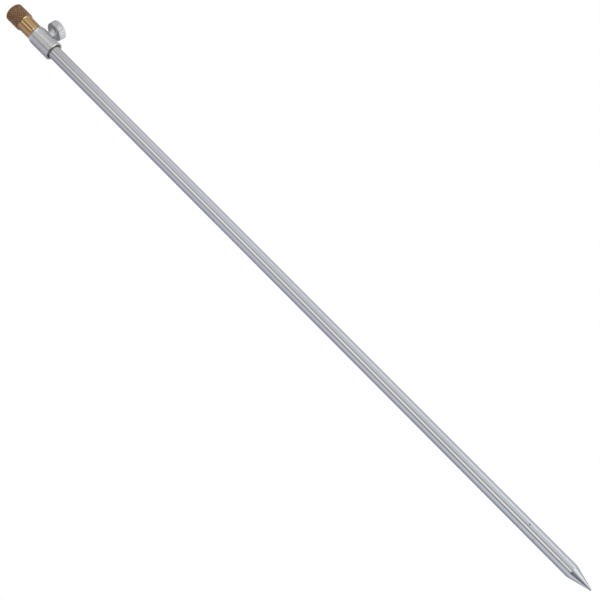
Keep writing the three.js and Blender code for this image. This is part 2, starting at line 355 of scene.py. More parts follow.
def new_piece(name, vertices, faces, materials, slot=None, body=None, nodes=(), chosen=None):
    """A smooth mesh object from vertices and triangles. With a body, it rides on it and stands for its
    nodes; chosen says which faces take the second material."""
    mesh = bpy.data.meshes.new(name)
    mesh.vertices.add(len(vertices))
    mesh.vertices.foreach_set("co", np.asarray(vertices, np.float32).ravel())
    mesh.loops.add(faces.size)
    mesh.loops.foreach_set("vertex_index", faces.ravel().astype(np.int32))
    mesh.polygons.add(len(faces))
    mesh.polygons.foreach_set("loop_start", np.arange(0, faces.size, 3, dtype=np.int32))
    mesh.polygons.foreach_set("use_smooth", np.ones(len(faces), bool))
    for material in materials:
        mesh.materials.append(material)
    if chosen is not None:
        mesh.polygons.foreach_set("material_index", chosen.astype(np.int32))
    mesh.update(calc_edges=True)
    mesh.validate()
    piece = bpy.data.objects.new(name, mesh)
    bpy.context.scene.collection.objects.link(piece)
    if body:
        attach(piece, body)
        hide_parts(*nodes)
    return piece


def half_width(node, axis=0):
    """Half of a node's size along an axis, which is the radius of a turned one."""
    low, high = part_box(node)
    return (high[axis] - low[axis]) / 2


def direction_at(azimuth, elevation):
    """The unit direction at an azimuth, counted from -Y towards +X, and an elevation."""
    across = math.cos(elevation)
    return Vector((math.sin(azimuth) * across, -math.cos(azimuth) * across, math.sin(elevation)))


def add(tree, kind, links=None, values=None, stops=None, **settings):
    """Adds a shader node, its kind named without ShaderNode in front, with its settings, values, links
    and, for a ramp, its stops of position and colour."""
    node = tree.nodes.new("ShaderNode" + kind)
    for name, value in settings.items():
        setattr(node, name, value)
    for name, value in (values or {}).items():
        node.inputs[name].default_value = value
    for name, socket in (links or {}).items():
        tree.links.new(socket, node.inputs[name])
    if stops:
        ramp = node.color_ramp.elements
        while len(ramp) < len(stops):
            ramp.new(1)
        for element, (position, shade) in zip(ramp, stops):
            element.position = position
            element.color = (*shade, 1)
    return node


def emptied_tree(owner):
    """The node tree of a material or a world, emptied."""
    owner.use_nodes = True
    owner.node_tree.nodes.clear()
    return owner.node_tree


def start_material(name, metallic=1, roughness=0.5, base=None):
    """A material with a surface shader, its output, and the place on the piece in object space."""
    material = bpy.data.materials.new(name)
    tree = emptied_tree(material)
    shader = add(tree, "BsdfPrincipled", values={"Metallic": metallic, "Roughness": roughness})
    if base is not None:
        shader.inputs["Base Color"].default_value = (*base, 1)
    add(tree, "OutputMaterial", {"Surface": shader.outputs["BSDF"]})
    place = add(tree, "TexCoord").outputs["Object"]
    return material, tree, shader, place


def stretched_noise(tree, place, scale, detail=3):
    """A noise whose cells are as long along each axis as one over its scale, in metres."""
    mapped = add(tree, "Mapping", {"Vector": place}, {"Scale": scale})
    values = {"Scale": 1, "Detail": detail, "Roughness": 0.55}
    return add(tree, "TexNoise", {"Vector": mapped.outputs["Vector"]}, values).outputs["Fac"]


def add_marks(tree, shader, place, scale, depth, detail=3):
    """Marks left by making: the surface is shaded as if a stretched noise lifted it by up to a depth in
    metres."""
    height = stretched_noise(tree, place, scale, detail)
    bump = add(tree, "Bump", {"Height": height}, {"Strength": 1, "Distance": depth})
    tree.links.new(bump.outputs["Normal"], shader.inputs["Normal"])


# How far down from its top the tube is darkened as painted shade next to the collar, the radii between which
# a nick fades, and each nick's place and shade.
COLLAR_SHADE_LENGTH = 0.09
NICK_CORE = 0.0003
NICK_REACH = 0.001
NICKS = (((-0.00058, -0.00597, 0.0665), 0.12), ((-0.00562, -0.0021, 0.0565), 0.6))


def drawn_aluminium(colours, top):
    """Polished drawn aluminium tube: a mirror with hairlines along its length, drawn about 0.3 mm apart so
    that they show, smudges and two small nicks from use, faint clouds, and painted shade that darkens its top
    next to the collar."""
    material, tree, shader, place = start_material("polished_drawn_aluminium")
    add_marks(tree, shader, place, scale=(3300, 3300, 14), depth=2.5e-6)
    smudges = stretched_noise(tree, place, (140, 140, 45))
    limits = {"From Min": 0.3, "From Max": 0.75, "To Min": 0.07, "To Max": 0.14}
    polish = add(tree, "MapRange", {"Value": smudges}, limits)
    tree.links.new(polish.outputs["Result"], shader.inputs["Roughness"])
    patches = stretched_noise(tree, place, (9, 9, 9))
    limits = {"From Min": 0.3, "From Max": 0.7, "To Min": 0.92, "To Max": 1}
    clouds = add(tree, "MapRange", {"Value": patches}, limits)
    height = add(tree, "SeparateXYZ", {"Vector": place}).outputs["Z"]
    # Painted shade: the tube's colour darkens towards its top, next to the collar.
    limits = {"From Min": top - COLLAR_SHADE_LENGTH, "From Max": top, "To Min": 1, "To Max": 0.84}
    collar_shade = add(tree, "MapRange", {"Value": height}, limits, interpolation_type="SMOOTHSTEP")
    tint = {0: tuple(colours.tube)}
    clouded = add(tree, "VectorMath", {"Scale": clouds.outputs["Result"]}, tint, operation="SCALE")
    shaded_top = {0: clouded.outputs["Vector"], "Scale": collar_shade.outputs["Result"]}
    base = add(tree, "VectorMath", shaded_top, operation="SCALE")
    for centre, darkest in NICKS:
        away = add(tree, "VectorMath", {0: place}, {1: centre}, operation="DISTANCE")
        limits = {"From Min": NICK_CORE, "From Max": NICK_REACH, "To Min": darkest, "To Max": 1}
        dirt = add(tree, "MapRange", {"Value": away.outputs["Value"]}, limits)
        spotted = {0: base.outputs["Vector"], "Scale": dirt.outputs["Result"]}
        base = add(tree, "VectorMath", spotted, operation="SCALE")
    tree.links.new(base.outputs["Vector"], shader.inputs["Base Color"])
    return material


def turned_aluminium(colours):
    """Bright turned aluminium: rings round the axis, left by the tool, drawn 0.5 mm apart so that they
    show."""
    material, tree, shader, place = start_material(
        "bright_turned_aluminium", roughness=0.2, base=colours.spike
    )
    add_marks(tree, shader, place, scale=(90, 90, 2000), depth=18e-6)
    return material


# How far from the mouth's edge its painted colours are still full and where they end, and how deep inside the
# painted shade is darkest.
MOUTH_PAINT_FULL = 0.00005
MOUTH_PAINT_END = 0.0002
MOUTH_SHADE_DEPTH = 0.0025


def satin_aluminium(colours, bottom, mouth_radius):
    """Satin turned aluminium: soft light, fine rings, a faint mottle, a warm tint on the mouth's flat rim,
    and painted shade inside the mouth, a matt coat from light near the edge to dark brown deep in. The coat
    covers the metal there, so that the mouth's inside isn't metallic."""
    material, tree, shader, place = start_material("satin_turned_aluminium")
    height = add(tree, "SeparateXYZ", {"Vector": place}).outputs["Z"]
    limits = {"From Min": bottom + MOUTH_PAINT_END, "From Max": bottom + MOUTH_PAINT_FULL}
    on_rim = add(tree, "MapRange", {"Value": height}, limits)
    flattened = add(tree, "Mapping", {"Vector": place}, {"Scale": (1, 1, 0)})
    distance = add(tree, "VectorMath", {0: flattened.outputs["Vector"]}, operation="LENGTH")
    limits = {"From Min": mouth_radius + MOUTH_PAINT_FULL, "From Max": mouth_radius + MOUTH_PAINT_END}
    outside = add(tree, "MapRange", {"Value": distance.outputs["Value"]}, limits)
    tree.links.new(outside.outputs["Result"], shader.inputs["Metallic"])
    tints = {"A": (*colours.collar, 1), "B": (*colours.mouth_rim, 1)}
    rim = add(tree, "Mix", {"Factor": on_rim.outputs["Result"]}, tints, data_type="RGBA")
    # Painted shade: inside the mouth the colour darkens with depth, from light to dark brown.
    limits = {"From Min": bottom, "From Max": bottom + MOUTH_SHADE_DEPTH}
    depth = add(tree, "MapRange", {"Value": height}, limits)
    stops = [(0.5, colours.mouth_shade_light), (1, colours.mouth_shade_dark)]
    wall = add(tree, "ValToRGB", {"Fac": depth.outputs["Result"]}, stops=stops)
    sides = {"Factor": outside.outputs["Result"], "A": wall.outputs["Color"], "B": rim.outputs["Result"]}
    mouth = add(tree, "Mix", sides, data_type="RGBA")
    tree.links.new(mouth.outputs["Result"], shader.inputs["Base Color"])
    mottle = stretched_noise(tree, place, (260, 260, 120), detail=4)
    limits = {"From Min": 0.3, "From Max": 0.7, "To Min": 0.29, "To Max": 0.35}
    sheen = add(tree, "MapRange", {"Value": mottle}, limits)
    tree.links.new(sheen.outputs["Result"], shader.inputs["Roughness"])
    add_marks(tree, shader, place, scale=(160, 160, 2400), depth=2e-6)
    return material


# How far up from a groove's bottom the colour of its crest begins.
CREST_SHARE = 0.75


def groove_shade(tree, place, centre, across, bottom, top, groove, crest):
    """A colour that goes from the groove's to the crest's with the distance from a turned axis."""
    mapped = add(tree, "Mapping", {"Vector": place}, {"Location": centre, "Scale": across})
    distance = add(tree, "VectorMath", {0: mapped.outputs["Vector"]}, operation="LENGTH")
    limits = {"From Min": bottom, "From Max": top}
    height = add(tree, "MapRange", {"Value": distance.outputs["Value"]}, limits)
    stops = [(0, groove), (CREST_SHARE, crest)]
    return add(tree, "ValToRGB", {"Fac": height.outputs["Result"]}, stops=stops).outputs["Color"]


# How dark the bottoms of the grooves are, as a share of the screw's colour.
GROOVE_SHARE = 0.86


def knurled_aluminium(colours, centre, radius, depth):
    """Knurled aluminium: bright flanks, darker in the bottoms of the grooves."""
    material, tree, shader, place = start_material("knurled_aluminium", roughness=0.56)
    groove = [GROOVE_SHARE * channel for channel in colours.screw]
    shade = groove_shade(tree, place, centre, (0, 1, 1), radius - depth, radius, groove, colours.screw)
    tree.links.new(shade, shader.inputs["Base Color"])
    add_marks(tree, shader, place, scale=(2600, 2600, 2600), depth=4e-6, detail=4)
    return material


# The painted shade under the screw's head: how dark it is, the width round the boss over which it comes in,
# how far past the flat it is still full, and where it ends.
UNDER_HEAD_SHADE_SHARE = 0.7
BOSS_BLEND = 0.0006
UNDER_HEAD_SHADE_FULL = 0.0002
UNDER_HEAD_SHADE_END = 0.0006


def machined_aluminium(colours, centre, boss, underside):
    """Machined aluminium of the thumb screw: fine rings round its own axis, a boss painted brighter as a
    painted highlight, and painted shade on the flat under the head."""
    material, tree, shader, place = start_material("machined_aluminium", roughness=0.48)
    # Painted shade on the flat under the head, and a painted highlight on the boss.
    shaded_flat = [UNDER_HEAD_SHADE_SHARE * channel for channel in colours.screw]
    shade = groove_shade(tree, place, centre, (0, 1, 1), boss + BOSS_BLEND, boss, shaded_flat, colours.boss_painted_light)
    along = add(tree, "SeparateXYZ", {"Vector": place}).outputs["X"]
    limits = {"From Min": underside + UNDER_HEAD_SHADE_FULL, "From Max": underside + UNDER_HEAD_SHADE_END}
    beyond = add(tree, "MapRange", {"Value": along}, limits)
    sides = {"Factor": beyond.outputs["Result"], "A": shade}
    base = add(tree, "Mix", sides, {"B": (*colours.screw, 1)}, data_type="RGBA")
    tree.links.new(base.outputs["Result"], shader.inputs["Base Color"])
    add_marks(tree, shader, place, scale=(4200, 160, 160), depth=6e-6)
    return material


# Tarnish, as shares of the brass's red, green and blue.
TARNISH_SHARES = (0.86, 0.82, 0.78)


def polished_brass(colours):
    """Polished brass: a warm mirror, a little tarnished in soft patches."""
    material, tree, shader, place = start_material("polished_brass", roughness=0.09)
    patches = stretched_noise(tree, place, (230, 230, 90))
    tarnished = [share * channel for share, channel in zip(TARNISH_SHARES, colours.brass)]
    ramp = add(tree, "ValToRGB", {"Fac": patches}, stops=[(0.35, colours.brass), (0.75, tarnished)])
    tree.links.new(ramp.outputs["Color"], shader.inputs["Base Color"])
    add_marks(tree, shader, place, scale=(120, 120, 4200), depth=1.5e-6)
    return material


def knurled_brass(colours, radius, depth):
    """Knurled brass: brown from handling in patches, and darker brown in the bottoms of the grooves."""
    material, tree, shader, place = start_material("knurled_brass", roughness=0.45)
    shade = groove_shade(
        tree, place, (0, 0, 0), (1, 1, 0), radius - depth, radius, colours.brass_groove, colours.brass_knurl
    )
    handling = stretched_noise(tree, place, (520, 520, 900))
    limits = {"From Min": 0.35, "From Max": 0.65, "To Min": 0.72, "To Max": 1.22}
    patches = add(tree, "MapRange", {"Value": handling}, limits)
    worn = {0: shade, "Scale": patches.outputs["Result"]}
    base = add(tree, "VectorMath", worn, operation="SCALE")
    tree.links.new(base.outputs["Vector"], shader.inputs["Base Color"])
    add_marks(tree, shader, place, scale=(2600, 2600, 2600), depth=4e-6, detail=4)
    return material


def natural_nylon(colours):
    """Turned natural nylon: waxy, off-white, with a soft surface light."""
    material, tree, shader, place = start_material("natural_nylon", metallic=0, base=colours.nylon)
    add_marks(tree, shader, place, scale=(200, 200, 3000), depth=8e-6)
    return material


class BANKSTICK_OT_ground_spike(bpy.types.Operator):
    """Turns the point, its land and its spigot"""

    bl_idname = "bankstick.ground_spike"
    bl_label = "Ground Spike"

    def execute(self, context):
        sizes = context.scene.bankstick_sizes
        radius = half_width("ground_spike")
        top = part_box("ground_spike")[1].z
        land_top = sizes.cone_length + sizes.land_length
        spigot = radius - sizes.spigot_inset
        rise = sizes.cone_length - sizes.spike_tip
        slant = math.atan2(radius, rise) - math.asin(sizes.spike_tip / math.hypot(radius, rise))
        edge_reach = sizes.cone_edge * math.tan(slant / 2)
        tip = elliptic_arc((0, sizes.spike_tip), sizes.spike_tip, sizes.spike_tip, -math.pi / 2, -slant)
        tip = np.array(tip)[:, :2]
        edge_centre = (radius - sizes.cone_edge, sizes.cone_length + edge_reach)
        edge = np.array(elliptic_arc(edge_centre, sizes.cone_edge, sizes.cone_edge, -slant, 0))[:, :2]
        rings = max(2, round((edge[0, 1] - tip[-1, 1]) / sizes.turning_pitch))
        share = np.linspace(0, 1, rings * ARC_STEPS + 1)[1:-1, None]
        cone = tip[-1] + (edge[0] - tip[-1]) * share
        cone[:, 0] -= sizes.turning_depth * np.abs(np.sin(math.pi * rings * share[:, 0]))
        corners = [
            (*edge[-1], 0),
            (radius, land_top, sizes.edge),
            (spigot, land_top, 0),
            (spigot, top, 4 * sizes.edge),
            (0, top, 0),
        ]
        turning = Turning(TUBE_COLUMNS)
        turning.add(np.concatenate([tip, cone, edge[:-1], rounded_profile(corners)]))
        material = turned_aluminium(context.scene.bankstick_colours)
        new_piece(
            "spike_turned", *turning.surface(), [material], "turned_aluminium", "lower", ["ground_spike"]
        )
        return {"FINISHED"}


class BANKSTICK_OT_tubes(bpy.types.Operator):
    """Makes the outer and the inner tube"""

    bl_idname = "bankstick.tubes"
    bl_label = "Tubes"

    def execute(self, context):
        sizes = context.scene.bankstick_sizes
        material = drawn_aluminium(context.scene.bankstick_colours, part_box("outer_tube")[1].z)
        for name, node, body, wall in (
            ("outer_tube_drawn", "outer_tube", "lower", sizes.tube_wall),
            ("inner_tube_drawn", "inner_tube", "upper", sizes.inner_wall),
        ):
            radius = half_width(node)
            low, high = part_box(node)
            middle = (radius, (low.z + high.z) / 2, 0)
            corners = [
                middle,
                (radius, high.z, sizes.edge),
                (radius - wall, high.z, sizes.edge),
                (radius - wall, low.z, sizes.edge),
                (radius, low.z, sizes.edge),
                middle,
            ]
            tube = turned(TUBE_COLUMNS, corners, closed=True)
            new_piece(name, *tube, [material], "polished_aluminium", body, [node])
        return {"FINISHED"}


class BANKSTICK_OT_collar(bpy.types.Operator):
    """Turns the clamp collar and drills it for the thumb screw"""

    bl_idname = "bankstick.collar"
    bl_label = "Clamp Collar"

    def execute(self, context):
        sizes = context.scene.bankstick_sizes
        low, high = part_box("locking_collar")
        radius = half_width("locking_collar", 1)
        tube = half_width("outer_tube")
        bore = half_width("inner_tube") + sizes.collar_clearance
        seat = tube + sizes.glued_clearance
        mouth = tube + sizes.mouth_relief
        mouth_top = low.z + sizes.mouth_depth
        shoulder = mouth_top + sizes.seat_length
        hole_low, hole_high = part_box("thumb_screw")
        hole_height = (hole_low.z + hole_high.z) / 2
        hole = sizes.screw_diameter / 2 + sizes.screw_clearance
        round_centre = (radius - sizes.collar_round_width, high.z - sizes.collar_round_length)
        top_round = elliptic_arc(
            round_centre, sizes.collar_round_width, sizes.collar_round_length, 0, math.pi / 2
        )
        # Rows close together beside the hole, so that the faces that the drill cuts stay small.
        wall_rows = np.linspace(hole_height - HOLE_ROOM_SHARE * hole, round_centre[1], COLLAR_WALL_ROWS)
        wall_rows = [(radius, height, 0) for height in wall_rows if height < round_centre[1]]
        corners = [
            (bore, (shoulder + high.z) / 2, 0),
            (bore, shoulder, 0),
            (seat, shoulder, 0),
            (seat, mouth_top, sizes.edge),
            (mouth, mouth_top, sizes.edge),
            (mouth, low.z, sizes.edge),
            (mouth + sizes.mouth_rim, low.z, sizes.edge),
            (radius, low.z + sizes.mouth_chamfer, sizes.edge),
            *wall_rows,
            *top_round,
            (bore, high.z, 3 * sizes.edge),
            (bore, (shoulder + high.z) / 2, 0),
        ]
        surface = turned(COLLAR_COLUMNS, corners, closed=True)
        material = satin_aluminium(context.scene.bankstick_colours, low.z, mouth)
        collar = new_piece(
            "collar_turned", *surface, [material], "satin_aluminium", "lower", ["locking_collar"]
        )
        drill_columns = COLLAR_COLUMNS // 2
        drill = [(0, 0, 0), (hole, 0, 0), (hole, 2 * radius, 0), (0, 2 * radius, 0)]
        vertices, faces = turned(drill_columns, drill)
        # Turned by half a column, so that no corner of the drill falls on an edge of the collar.
        half_step = math.pi / drill_columns
        across, along = math.cos(half_step), math.sin(half_step)
        vertices = vertices @ np.array([(across, along, 0), (-along, across, 0), (0, 0, 1)])
        cutter = new_piece("collar_drill", along_x(vertices, hole_height), faces, [])
        cut = collar.modifiers.new("screw_hole", "BOOLEAN")
        cut.operation = "DIFFERENCE"
        cut.solver = "EXACT"
        cut.object = cutter
        shaped = bpy.data.meshes.new_from_object(collar.evaluated_get(context.evaluated_depsgraph_get()))
        if len(shaped.polygons) in (0, len(collar.data.polygons)):
            raise RuntimeError("The thumb screw's hole could not be cut in the collar")
        collar.modifiers.clear()
        collar.data = shaped
        shaped.name = collar.name
        shaped.set_sharp_from_angle(angle=SHARP_ANGLE)
        bpy.data.objects.remove(cutter)
        return {"FINISHED"}


class BANKSTICK_OT_brass_head(bpy.types.Operator):
    """Turns, knurls and threads the brass head"""

    bl_idname = "bankstick.brass_head"
    bl_label = "Brass Head"

    def execute(self, context):
        sizes = context.scene.bankstick_sizes
        colours = context.scene.bankstick_colours
        low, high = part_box("thread_head")
        radius = half_width("thread_head")
        tube_socket = half_width("inner_tube") + sizes.glued_clearance
        neck = radius - sizes.neck_step
        flare = neck + sizes.flare_width
        neck_top = low.z + sizes.neck_length
        socket_floor = high.z - sizes.socket_depth
        crest = sizes.socket_minor / 2
        lip = sizes.socket_major / 2 + sizes.socket_lip
        columns = sizes.knurl_starts * KNURL_CELL
        quarter = math.pi / 2
        lower_centre = (flare, low.z + sizes.flare_length)
        lower_flare = elliptic_arc(lower_centre, sizes.flare_width, sizes.flare_length, -quarter, -math.pi)
        upper_centre = (flare, neck_top - sizes.flare_length)
        upper_flare = elliptic_arc(upper_centre, sizes.flare_width, sizes.flare_length, math.pi, quarter)
        neck_corners = [
            (0, low.z + sizes.neck_socket, 0),
            (tube_socket, low.z + sizes.neck_socket, 0),
            (tube_socket, low.z, sizes.edge),
            (flare - sizes.edge, low.z, 0),
            *lower_flare[1:],
            *upper_flare,
            (radius - sizes.head_chamfer, neck_top, 0),
        ]
        knurl_rows, knurl_end, outline = knurl_outline(
            radius, neck_top, high.z, sizes.head_chamfer, sizes.head_round, sizes
        )
        thread_top = high.z - (lip - crest)
        top_corners = [*knurl_end, (lip, high.z, sizes.edge), (crest, thread_top, 0)]
        thread_rows = np.arange(socket_floor + sizes.edge, thread_top, sizes.socket_pitch / THREAD_ROWS)[::-1]
        turning = Turning(columns)
        turning.add(rounded_profile(neck_corners)[:-1])
        add_knurl(turning, radius, knurl_rows, outline, sizes)
        turning.add(rounded_profile(top_corners)[1:])
        groove = crest - sizes.socket_major / 2
        thread = threaded_radius(crest, thread_rows, columns, sizes.socket_pitch, groove)
        turning.add_rows(thread, thread_rows)
        turning.add(np.array([(crest, socket_floor), (0, socket_floor - sizes.socket_point)]))
        vertices, faces = turning.surface()
        knurled = knurled_faces(vertices, faces, knurl_rows, outline, sizes.knurl_depth)
        materials = [polished_brass(colours), knurled_brass(colours, radius, sizes.knurl_depth)]
        new_piece("brass_head_turned", vertices, faces, materials, "brass", "upper", ["thread_head"], knurled)
        return {"FINISHED"}


def knurl_outline(radius, start, end, chamfer, rounding, sizes):
    """Rows of a knurled band with a chamfer at its start and a rounding at its end.

    Returns the rows' heights, the corners that go on from them over the rounding, and the turned
    radius at each row: the smaller of the chamfer's line and the rounding's quarter circle.
    """
    step = sizes.knurl_pitch / KNURL_CELL
    drop = rounding - math.sqrt(max(0, rounding**2 - (rounding - sizes.knurl_depth) ** 2))
    last = end - drop
    rows = start + np.arange(0, math.floor((last - start) / step) + 1) * step
    chamfer_line = radius - chamfer + (rows - start)
    over = np.clip(rows - (end - rounding), 0, rounding)
    round_line = radius - rounding + np.sqrt(rounding**2 - over**2)
    outline = np.minimum(np.minimum(chamfer_line, radius), round_line)
    begin = math.asin(min(1, (rows[-1] - (end - rounding)) / rounding))
    arc = elliptic_arc((radius - rounding, end - rounding), rounding, rounding, begin, math.pi / 2)
    return rows, arc, outline


def add_knurl(turning, radius, rows, outline, sizes):
    """Adds knurled rows to a turning: at each point the smaller of the knurl and the outline."""
    knurl = knurled_radius(
        radius, rows - rows[0], turning.columns, sizes.knurl_starts, sizes.knurl_pitch, sizes.knurl_depth
    )
    splits = knurl_splits(rows - rows[0], turning.columns, sizes.knurl_starts, sizes.knurl_pitch)
    turning.add_rows(np.minimum(knurl, outline[:, None]), rows, splits)


def knurled_faces(vertices, faces, rows, outline, depth):
    """Which faces of a turning lie in the knurl: those in its rows that lie a little under the
    outline, and not so far under it that they belong to a bore."""
    middles = vertices[faces].mean(1)
    under = np.interp(middles[:, 2], rows, outline) - np.hypot(middles[:, 0], middles[:, 1])
    within = (middles[:, 2] > rows[0]) & (middles[:, 2] < rows[-1])
    return within & (under > KNURL_SKIN_SHARE * depth) & (under < KNURL_REACH_SHARE * depth)


class BANKSTICK_OT_thumb_screw(bpy.types.Operator):
    """Turns, knurls and threads the thumb screw"""

    bl_idname = "bankstick.thumb_screw"
    bl_label = "Thumb Screw"

    def execute(self, context):
        sizes = context.scene.bankstick_sizes
        colours = context.scene.bankstick_colours
        low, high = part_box("thumb_screw")
        radius = half_width("thumb_screw", 1)
        height = (low.z + high.z) / 2
        shank = sizes.screw_diameter / 2
        underside = high.x - sizes.thumb_thickness
        columns = sizes.knurl_starts * KNURL_CELL
        stem_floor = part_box("clamp_pad")[1].x + sizes.stem_room
        root = shank - sizes.screw_groove
        boss = shank + sizes.boss_step
        boss_start = math.acos(root / boss)
        dome = elliptic_arc((0, underside), boss, sizes.boss_length, -boss_start, 0)
        thread_end = dome[0][1]
        thread_rows = np.arange(low.x + sizes.edge, thread_end, sizes.screw_pitch / THREAD_ROWS)
        stem = [(0, stem_floor), (sizes.stem_hole, stem_floor), (sizes.stem_hole, low.x), (root, low.x)]
        turning = Turning(columns)
        turning.add(np.array(stem))
        thread = threaded_radius(shank, thread_rows, columns, sizes.screw_pitch, sizes.screw_groove)
        lead_in = root + (thread_rows - low.x)[:, None]
        turning.add_rows(np.minimum(thread, lead_in), thread_rows)
        rows, knurl_end, outline = knurl_outline(
            radius, underside, high.x, sizes.thumb_chamfer, sizes.thumb_round, sizes
        )
        flat_edge = radius - sizes.thumb_chamfer - sizes.knurl_depth
        under_head = [*dome[:-1], (boss, underside, 3 * sizes.edge), (flat_edge, underside, 0)]
        turning.add(rounded_profile(under_head))
        add_knurl(turning, radius, rows, outline, sizes)
        outer_face = [*knurl_end, (INNER_ROW_SHARE * radius, high.x, 0), (0, high.x, 0)]
        turning.add(rounded_profile(outer_face)[1:])
        vertices, faces = turning.surface()
        knurled = knurled_faces(vertices, faces, rows, outline, sizes.knurl_depth)
        materials = [
            machined_aluminium(colours, (0, 0, -height), boss, underside),
            knurled_aluminium(colours, (0, 0, -height), radius, sizes.knurl_depth),
        ]
        new_piece(
            "thumb_screw_turned",
            along_x(vertices, height),
            faces,
            materials,
            "knurled_aluminium",
            "screw",
            ["thumb_screw"],
            knurled,
        )
        return {"FINISHED"}


class BANKSTICK_OT_nylon_parts(bpy.types.Operator):
    """Turns the nylon end plug and the clamp pad"""

    bl_idname = "bankstick.nylon_parts"
    bl_label = "Nylon Parts"

    def execute(self, context):
        sizes = context.scene.bankstick_sizes
        material = natural_nylon(context.scene.bankstick_colours)
        low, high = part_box("end_plug")
        guide = half_width("end_plug")
        spigot = half_width("inner_tube") - sizes.inner_wall - sizes.glued_clearance
        guide_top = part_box("inner_tube")[0].z - sizes.plug_seat
        corners = [
            (0, low.z, 0),
            (guide, low.z, sizes.plug_round),
            (guide, guide_top, 2 * sizes.edge),
            (spigot, guide_top, 0),
            (spigot, high.z, sizes.plug_round),
            (0, high.z, 0),
        ]
        plug = turned(TUBE_COLUMNS, corners)
        new_piece("end_plug_turned", *plug, [material], "nylon", "plug", ["end_plug"])
        low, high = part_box("clamp_pad")
        face = half_width("clamp_pad", 1)
        height = (low.z + high.z) / 2
        disc_back = low.x + sizes.pad_thickness
        corners = [
            (0, low.x, 0),
            (face, low.x, 2 * sizes.edge),
            (face, disc_back, sizes.edge),
            (sizes.pad_stem, disc_back, 0),
            (sizes.pad_stem, high.x, 2 * sizes.edge),
            (0, high.x, 0),
        ]
        vertices, faces = turned(TUBE_COLUMNS, corners)
        vertices = along_x(vertices, height)
        new_piece("clamp_pad_turned", vertices, faces, [material], "nylon", "pad", ["clamp_pad"])
        return {"FINISHED"}


# The floor's glow to the camera, the surroundings' light on matt surfaces, and the points lamps are aimed at.
FLOOR_GLOW = 0.25
MATT_LIGHT = 0.7
UPPER_PART = (0, 0, 0.6)
SCREW_HEAD = (0.017, 0, 0.6485)
# Each lamp's name and aim, its degrees round the stick from the camera and above the aim, its distance
# and side in metres, its power in watts, the degrees of its beam, and whether metal alone shows it.
LAMPS = (
    ("key_lamp", UPPER_PART, 33, 58, 1.3, 0.5, 9, 180, False),
    ("fill_lamp", UPPER_PART, -120, 40, 1.6, 0.8, 5, 180, False),
    ("screw_lamp", SCREW_HEAD, 100, -62, 0.09, 0.08, 0.007, 60, True),
)

# Bands of colour round the compass, each with the degrees from the camera where it starts and ends.
FLOOR_LIGHT = (
    (-180, -100, "#75767A"),
    (-60, 20, "#686865"),
    (50, 155, "#FFFFFF"),
    (180, 180, "#75767A"),
)
GROUND = (
    (-180, -104, "#9A9BA6"),
    (-88, -62, "#CACDD6"),
    (-42, -24, "#565B62"),
    (-13, -8, "#83878B"),
    (2, 5, "#6E7277"),
    (22, 36, "#C2C7C9"),
    (54, 70, "#FAFBFA"),
    (90, 150, "#B4B6BE"),
    (180, 180, "#9A9BA6"),
)
WALLS = (
    (-180, -180, "#A2A4AE"),
    (-150, -124, "#8E8F98"),
    (-112, -98, "#9798A4"),
    (-82, -54, "#C3C7D1"),
    (-38, -28, "#87898D"),
    (-14, -4, "#F1F1EC"),
    (9, 17, "#8C8E8E"),
    (28, 42, "#CACDCE"),
    (47, 53, "#B6BABC"),
    (68, 82, "#E6EAEB"),
    (98, 118, "#B8BBC4"),
    (126, 150, "#B8BBC5"),
    (180, 180, "#A2A4AE"),
)
UPPER_WALLS = (
    (-180, -180, "#A2A4AE"),
    (-150, -124, "#8E8F98"),
    (-112, -98, "#9798A4"),
    (-75, -58, "#B8BAC5"),
    (-42, -32, "#999A9E"),
    (-13, -4, "#E4E4E2"),
    (10, 17, "#9B9C9E"),
    (27, 42, "#C6C8CB"),
    (50, 55, "#AFB2B6"),
    (72, 84, "#C8CACE"),
    (104, 150, "#B6B8C0"),
    (180, 180, "#A2A4AE"),
)
NECK_WALLS = (
    (-180, -108, "#918DA0"),
    (-90, -72, "#B8B6BD"),
    (-60, -52, "#B4AFB3"),
    (-41, -28, "#7E7262"),
    (-17, -11, "#F4F6E6"),
    (0, 10, "#6A5C3C"),
    (26, 36, "#E2E7EC"),
    (46, 52, "#BBB7AE"),
    (64, 74, "#D0CEC0"),
    (90, 120, "#A89E96"),
    (180, 180, "#918DA0"),
)
CEILING = (
    (-180, -60, "#A0A2AA"),
    (-34, 4, "#828387"),
    (18, 38, "#FFFFFF"),
    (54, 90, "#505256"),
    (120, 150, "#7A7C80"),
    (180, 180, "#A0A2AA"),
)
HIGH_LAMP = (
    (-180, 60, "#484848"),
    (67, 75, "#FFFFFF"),
    (82, 180, "#484848"),
)
ZENITH = ((-180, 180, "#9A9CA0"),)
# Layers from the floor up, each with the heights between which it takes over from the one below it, its
# strength and its bands. The heights lie on the unit sphere, and the first layer has nothing below it.
SURROUND = (
    (-1, -1, 1.12, FLOOR_LIGHT),
    (-0.94, -0.84, 1.12, GROUND),
    (-0.2, -0.08, 1.12, WALLS),
    (0.05, 0.45, 1.12, UPPER_WALLS),
    (0.476, 0.479, 1.12, NECK_WALLS),
    (0.55, 0.64, 2.8, CEILING),
    (0.67, 0.71, 5, HIGH_LAMP),
    (0.77, 0.82, 0.8, ZENITH),
)


def compass_colours(tree, compass, bands):
    """Colours round the compass from bands of one colour each, given as the degrees where a band
    starts and ends, counted from the camera, and blended over the gaps between them."""
    stops = []
    for start, end, code in bands:
        stops.append((0.5 + start / 360, linear(code)))
        if end > start:
            stops.append((0.5 + end / 360, linear(code)))
    return add(tree, "ValToRGB", {"Fac": compass}, stops=stops).outputs["Color"]


